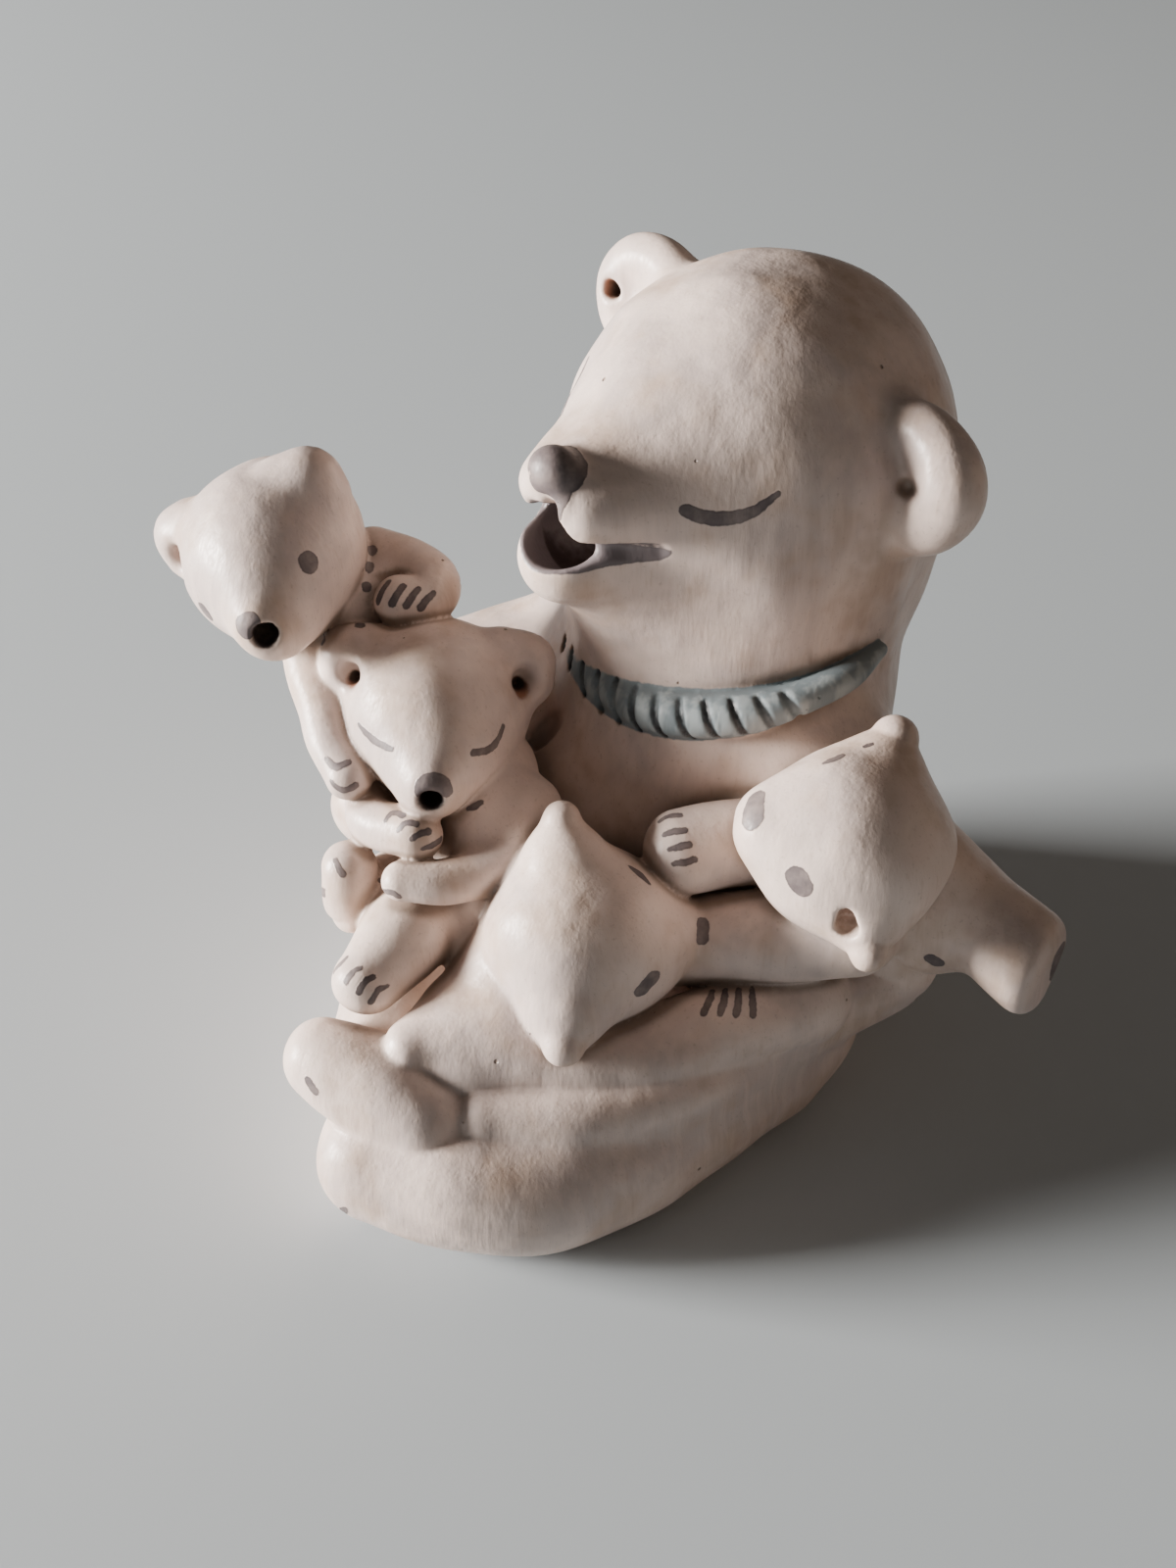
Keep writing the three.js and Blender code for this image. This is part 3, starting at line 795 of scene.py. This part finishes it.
def new_group(name, inputs, outputs):
    """An empty node group with named sockets, each with its kind and its starting value."""
    group = bpy.data.node_groups.new(name, "ShaderNodeTree")
    for label, kind, value in inputs:
        socket = group.interface.new_socket(label, in_out="INPUT", socket_type=kind)
        if value is not None:
            socket.default_value = value
    for label, kind in outputs:
        group.interface.new_socket(label, in_out="OUTPUT", socket_type=kind)
    return group, group.nodes.new("NodeGroupInput"), group.nodes.new("NodeGroupOutput")


def set_or_link(tree, socket, value):
    """Links a socket to another one, or gives it a plain value."""
    if isinstance(value, bpy.types.NodeSocket):
        tree.links.new(value, socket)
    else:
        socket.default_value = value


def maths(tree, operation, one, two=0.0, three=0.0):
    """One step of arithmetic on two or three values."""
    node = tree.nodes.new("ShaderNodeMath")
    node.operation = operation
    for socket, value in zip(node.inputs, (one, two, three)):
        set_or_link(tree, socket, value)
    return node.outputs[0]


def ramp(tree, value, low, high, to_low=0.0, to_high=1.0):
    """A smooth step of a value, from one end to the other."""
    node = tree.nodes.new("ShaderNodeMapRange")
    node.interpolation_type = "SMOOTHSTEP"
    for socket, given in zip(node.inputs, (value, low, high, to_low, to_high)):
        set_or_link(tree, socket, given)
    return node.outputs[0]


def blended(tree, share, one, two):
    """One colour laid over another by a share."""
    node = tree.nodes.new("ShaderNodeMix")
    node.data_type = "RGBA"
    set_or_link(tree, node.inputs["Factor"], share)
    set_or_link(tree, node.inputs["A"], one)
    set_or_link(tree, node.inputs["B"], two)
    return next(output for output in node.outputs if output.type == "RGBA")


def noise(tree, place, scale, detail=3.0, roughness=0.55, distortion=0.0):
    """Cloudy noise of a scale, summed over a few finer and fainter copies of itself."""
    node = tree.nodes.new("ShaderNodeTexNoise")
    tree.links.new(place, node.inputs["Vector"])
    set_or_link(tree, node.inputs["Scale"], scale)
    for label, value in (("Detail", detail), ("Roughness", roughness), ("Distortion", distortion)):
        node.inputs[label].default_value = value
    return node.outputs["Fac"]


def turned(tree, place, turns, stretch):
    """The place turned, then stretched along each axis, for streaks that run one way."""
    node = tree.nodes.new("ShaderNodeMapping")
    tree.links.new(place, node.inputs["Vector"])
    node.inputs["Rotation"].default_value = turns
    node.inputs["Scale"].default_value = stretch
    return node.outputs[0]


def attribute(tree, name):
    """A value kept at the corners of the mesh, blended across each face."""
    node = tree.nodes.new("ShaderNodeAttribute")
    node.attribute_name = name
    return node.outputs["Fac"]


# Streaks of a soft brush: fine noise drawn out long, in three directions that take turns
streaks_group, given, sent = new_group(
    "brush_streaks", [("Place", "NodeSocketVector", None), ("Fineness", "NodeSocketFloat", 900.0)],
    [("Streaks", "NodeSocketFloat")])
tree = streaks_group
where = given.outputs["Place"]
which = noise(tree, where, 34.0, 1.0)
runs = [noise(tree, turned(tree, where, turns, (1.0, 1.0, 0.11)), given.outputs["Fineness"], 2.0)
        for turns in ((0.5, 0.3, 0), (1.2, -0.4, 0.3), (0.1, 1.3, 0))]
one_way = maths(tree, "MULTIPLY", runs[0], ramp(tree, which, 0.53, 0.44))
other_way = maths(tree, "MULTIPLY", runs[1], ramp(tree, which, 0.44, 0.53))
third = ramp(tree, noise(tree, where, 21.0, 1.0), 0.52, 0.6)
first_two = maths(tree, "ADD", one_way, other_way)
first_two = maths(tree, "MULTIPLY", first_two, maths(tree, "SUBTRACT", 1.0, third))
last_one = maths(tree, "MULTIPLY", runs[2], third)
tree.links.new(maths(tree, "ADD", first_two, last_one), sent.inputs["Streaks"])

# Pinholes: small round pits left by grit and gas, few and scattered
pits_group, given, sent = new_group(
    "pinholes", [("Place", "NodeSocketVector", None), ("Spacing", "NodeSocketFloat", 130.0),
                 ("Radius", "NodeSocketFloat", 0.06), ("Share", "NodeSocketFloat", 0.3)],
    [("Pits", "NodeSocketFloat")])
tree = pits_group
cells = tree.nodes.new("ShaderNodeTexVoronoi")
tree.links.new(given.outputs["Place"], cells.inputs["Vector"])
tree.links.new(given.outputs["Spacing"], cells.inputs["Scale"])
parts = tree.nodes.new("ShaderNodeSeparateColor")
tree.links.new(cells.outputs["Color"], parts.inputs[0])
chosen = maths(tree, "LESS_THAN", parts.outputs[0], given.outputs["Share"])
size = maths(tree, "MULTIPLY", given.outputs["Radius"], maths(tree, "ADD", parts.outputs[1], 0.4))
floor_of_pit = maths(tree, "MULTIPLY", size, 0.4)
pit = maths(tree, "MULTIPLY", ramp(tree, cells.outputs["Distance"], size, floor_of_pit), chosen)
tree.links.new(pit, sent.inputs["Pits"])

# A painted edge: the share of a mark at a distance to its edge, made uneven by the brush, and the
# darker rim where the paint pooled
edge_group, given, sent = new_group(
    "painted_edge", [("Place", "NodeSocketVector", None), ("Distance", "NodeSocketFloat", 0.0),
                     ("Softness", "NodeSocketFloat", 0.12), ("Unevenness", "NodeSocketFloat", 0.5)],
    [("Covered", "NodeSocketFloat"), ("Rim", "NodeSocketFloat")])
tree = edge_group
wander = maths(tree, "SUBTRACT", noise(tree, given.outputs["Place"], 700.0, 3.0), 0.5)
wander = maths(tree, "MULTIPLY", wander, given.outputs["Unevenness"])
edge = maths(tree, "ADD", given.outputs["Distance"], wander)
soft = given.outputs["Softness"]
tree.links.new(ramp(tree, edge, soft, maths(tree, "MULTIPLY", soft, -1.0)), sent.inputs["Covered"])
from_rim = maths(tree, "ABSOLUTE", maths(tree, "ADD", edge, 0.15))
tree.links.new(ramp(tree, from_rim, 0.3, 0.0), sent.inputs["Rim"])

slip = bpy.data.materials.new("rubbed_slip")
slip.use_nodes = True
tree = slip.node_tree
shader = tree.nodes["Principled BSDF"]
place = tree.nodes.new("ShaderNodeTexCoord").outputs["Object"]


def use_group(group, **values):
    """Places a group in the slip's tree and sets its sockets."""
    node = tree.nodes.new("ShaderNodeGroup")
    node.node_tree = group
    tree.links.new(place, node.inputs["Place"])
    for label, value in values.items():
        set_or_link(tree, node.inputs[label], value)
    return node.outputs


def painted(kind, softness, unevenness):
    """The share covered by a kind of mark, and its rim."""
    distance = attribute(tree, kind)
    outputs = use_group(edge_group, Distance=distance, Softness=softness, Unevenness=unevenness)
    return outputs["Covered"], outputs["Rim"]


fine_streaks = use_group(streaks_group, Fineness=1500.0)["Streaks"]
broad_streaks = use_group(streaks_group, Fineness=420.0)["Streaks"]
pits = use_group(pits_group)["Pits"]
blotch = noise(tree, place, 24.0, 4.0, 0.6, 0.6)
cloud = noise(tree, place, 60.0, 3.0, 0.6)
speckle = noise(tree, place, 1300.0, 2.0, 0.6)
openness = attribute(tree, "open_share")

colour = blended(tree, ramp(tree, blotch, 0.40, 0.62), SLIP_PALE, SLIP_GREY)
colour = blended(tree, ramp(tree, cloud, 0.46, 0.70, 0.0, 0.65), colour, CLAY_WARM)
colour = blended(tree, ramp(tree, broad_streaks, 0.44, 0.66, 0.0, 0.30), colour, SLIP_PALE)
colour = blended(tree, ramp(tree, fine_streaks, 0.56, 0.74, 0.0, 0.22), colour, CLAY_WARM)
colour = blended(tree, ramp(tree, speckle, 0.60, 0.76, 0.0, 0.22), colour, DUST_AND_CREASE_SHADE)
# Painted shade: creases and hollows darken towards the dust colour as the place closes in
colour = blended(tree, ramp(tree, openness, 0.80, 0.15, 0.0, 0.75), colour, DUST_AND_CREASE_SHADE)
# The pinholes are darkened to the same colour
colour = blended(tree, maths(tree, "MULTIPLY", pits, 0.85), colour, DUST_AND_CREASE_SHADE)

collar, _ = painted("necklace", 0.2, 0.6)
nick, _ = painted("nick", 0.3, 0.3)
rubbed = maths(tree, "MULTIPLY", openness, 0.5)
rubbed = maths(tree, "ADD", rubbed, maths(tree, "MULTIPLY", broad_streaks, 0.9))
blue = blended(tree, ramp(tree, rubbed, 0.80, 1.02), PAINT_BLUE_GREY, PAINT_WORN_BLUE)
# Painted shade darkening the nicks
blue = blended(tree, nick, blue, NICK_SHADE)
colour = blended(tree, collar, colour, blue)

ink, ink_rim = painted("grey_purple", 0.12, 0.7)
thin_paint = ramp(tree, noise(tree, place, 260.0, 3.0, 0.6), 0.35, 0.7, 0.97, 0.80)
ink_colour = blended(tree, maths(tree, "MULTIPLY", ink_rim, 0.7), PAINT_GREY_PURPLE, PAINT_EDGE)
colour = blended(tree, maths(tree, "MULTIPLY", ink, thin_paint), colour, ink_colour)
lined, lined_rim = painted("mouth_lining", 0.15, 0.6)
lining_colour = blended(tree, maths(tree, "MULTIPLY", lined_rim, 0.5), PAINT_LINING, PAINT_EDGE)
colour = blended(tree, maths(tree, "MULTIPLY", lined, 0.93), colour, lining_colour)

# Bare clay in the pockets, going over to painted shade as the place closes in
bare, _ = painted("shaded_bare_clay", 0.3, 0.5)
pocket_clay_and_shade_colour = blended(tree, ramp(tree, openness, 0.6, 0.2), BARE_RED, PAINTED_SHADE_IN_POCKETS)
colour = blended(tree, bare, colour, pocket_clay_and_shade_colour)
# Painted shade: the throats and small mouths near-black
deep, _ = painted("throat", 0.3, 0.5)
colour = blended(tree, deep, colour, THROAT_PAINTED_SHADE)
tree.links.new(colour, shader.inputs["Base Color"])

any_paint = maths(tree, "MAXIMUM", maths(tree, "MAXIMUM", ink, collar), bare)
rough = ramp(tree, fine_streaks, 0.3, 0.7, ROUGH_RUBBED, ROUGH_STREAKED)
rough = maths(tree, "ADD", rough, maths(tree, "MULTIPLY", any_paint, ROUGHER_PAINT))
rough = maths(tree, "ADD", rough, ramp(tree, openness, 0.7, 0.2, 0.0, ROUGHER_CREASE))
tree.links.new(rough, shader.inputs["Roughness"])
shader.inputs["Specular IOR Level"].default_value = 0.45

height = maths(tree, "MULTIPLY", fine_streaks, FINE_STREAK_RELIEF)
dents = noise(tree, place, 85.0, 2.0, 0.4)
for relief, depth in ((broad_streaks, BROAD_STREAK_RELIEF), (dents, DENT_RELIEF), (speckle, GRIT_RELIEF),
                      (pits, -PIT_DEPTH), (ink, PAINT_RELIEF)):
    height = maths(tree, "ADD", height, maths(tree, "MULTIPLY", relief, depth))
bump = tree.nodes.new("ShaderNodeBump")
bump.inputs["Strength"].default_value = 0.8
bump.inputs["Distance"].default_value = 1.0
tree.links.new(height, bump.inputs["Height"])
tree.links.new(bump.outputs["Normal"], shader.inputs["Normal"])
thinned.materials.clear()
thinned.materials.append(slip)

# The table it stands on, and the light: a wide low window on her right in front, a little warm
# light from the wall of the room behind her left, and a dim room.

TABLE_REACH = 3.0
TABLE_COLOUR = (0.50, 0.56, 0.60, 1)
TABLE_ROUGHNESS = 0.8
ROOM_COLOUR = (1.0, 0.92, 0.84, 1)
ROOM_STRENGTH = 0.09
MIDDLE_OF_FIGURE = Vector((0, 0, 0.07))

floor_mesh = bpy.data.meshes.new("table_top")
table_corners = [(x * TABLE_REACH, y * TABLE_REACH, 0) for x, y in ((-1, -1), (1, -1), (1, 1), (-1, 1))]
floor_mesh.from_pydata(table_corners, [], [(0, 1, 2, 3)])
floor = bpy.data.objects.new("table_top", floor_mesh)
bpy.context.scene.collection.objects.link(floor)
cloth = bpy.data.materials.new("pale_table")
cloth.use_nodes = True
cloth.node_tree.nodes["Principled BSDF"].inputs["Base Color"].default_value = TABLE_COLOUR
cloth.node_tree.nodes["Principled BSDF"].inputs["Roughness"].default_value = TABLE_ROUGHNESS
floor_mesh.materials.append(cloth)

world = bpy.data.worlds.new("room_light")
world.use_nodes = True
world.node_tree.nodes["Background"].inputs["Color"].default_value = ROOM_COLOUR
world.node_tree.nodes["Background"].inputs["Strength"].default_value = ROOM_STRENGTH
bpy.context.scene.world = world


def soft_light(name, place, size, power, colour):
    """A square area light of the given size and power that faces the figure."""
    light = bpy.data.lights.new(name, "AREA")
    light.size = size
    light.energy = power
    light.color = colour
    lamp = bpy.data.objects.new(name, light)
    bpy.context.scene.collection.objects.link(lamp)
    lamp.location = place
    lamp.rotation_euler = (MIDDLE_OF_FIGURE - lamp.location).to_track_quat("-Z", "Y").to_euler()


soft_light("window", place=(-1.70, -1.52, 0.43), size=0.75, power=290, colour=(1.0, 0.93, 0.87))
soft_light("warm_wall", place=(0.8, 0.75, 0.35), size=0.8, power=1.0, colour=(1.0, 0.62, 0.38))

# The view: from in front on her left side, well above the table, through the same lens and sight
# lines that place the painted marks.

PICTURE_HEIGHT = 1600
SENSOR_WIDTH = 36

camera_data = bpy.data.cameras.new("camera")
camera_data.sensor_fit = "AUTO"
camera_data.sensor_width = SENSOR_WIDTH
camera_data.lens = SENSOR_WIDTH * PICTURE_LENS / PICTURE_HEIGHT
camera_data.clip_start = 0.01
camera = bpy.data.objects.new("camera", camera_data)
bpy.context.scene.collection.objects.link(camera)
sight_axes = np.column_stack([sight_right, sight_up, sight_back])
camera_rows = [(*row, at) for row, at in zip(sight_axes, sight_from * SHARE)]
camera.matrix_world = Matrix(camera_rows + [(0, 0, 0, 1)])
bpy.context.scene.camera = camera
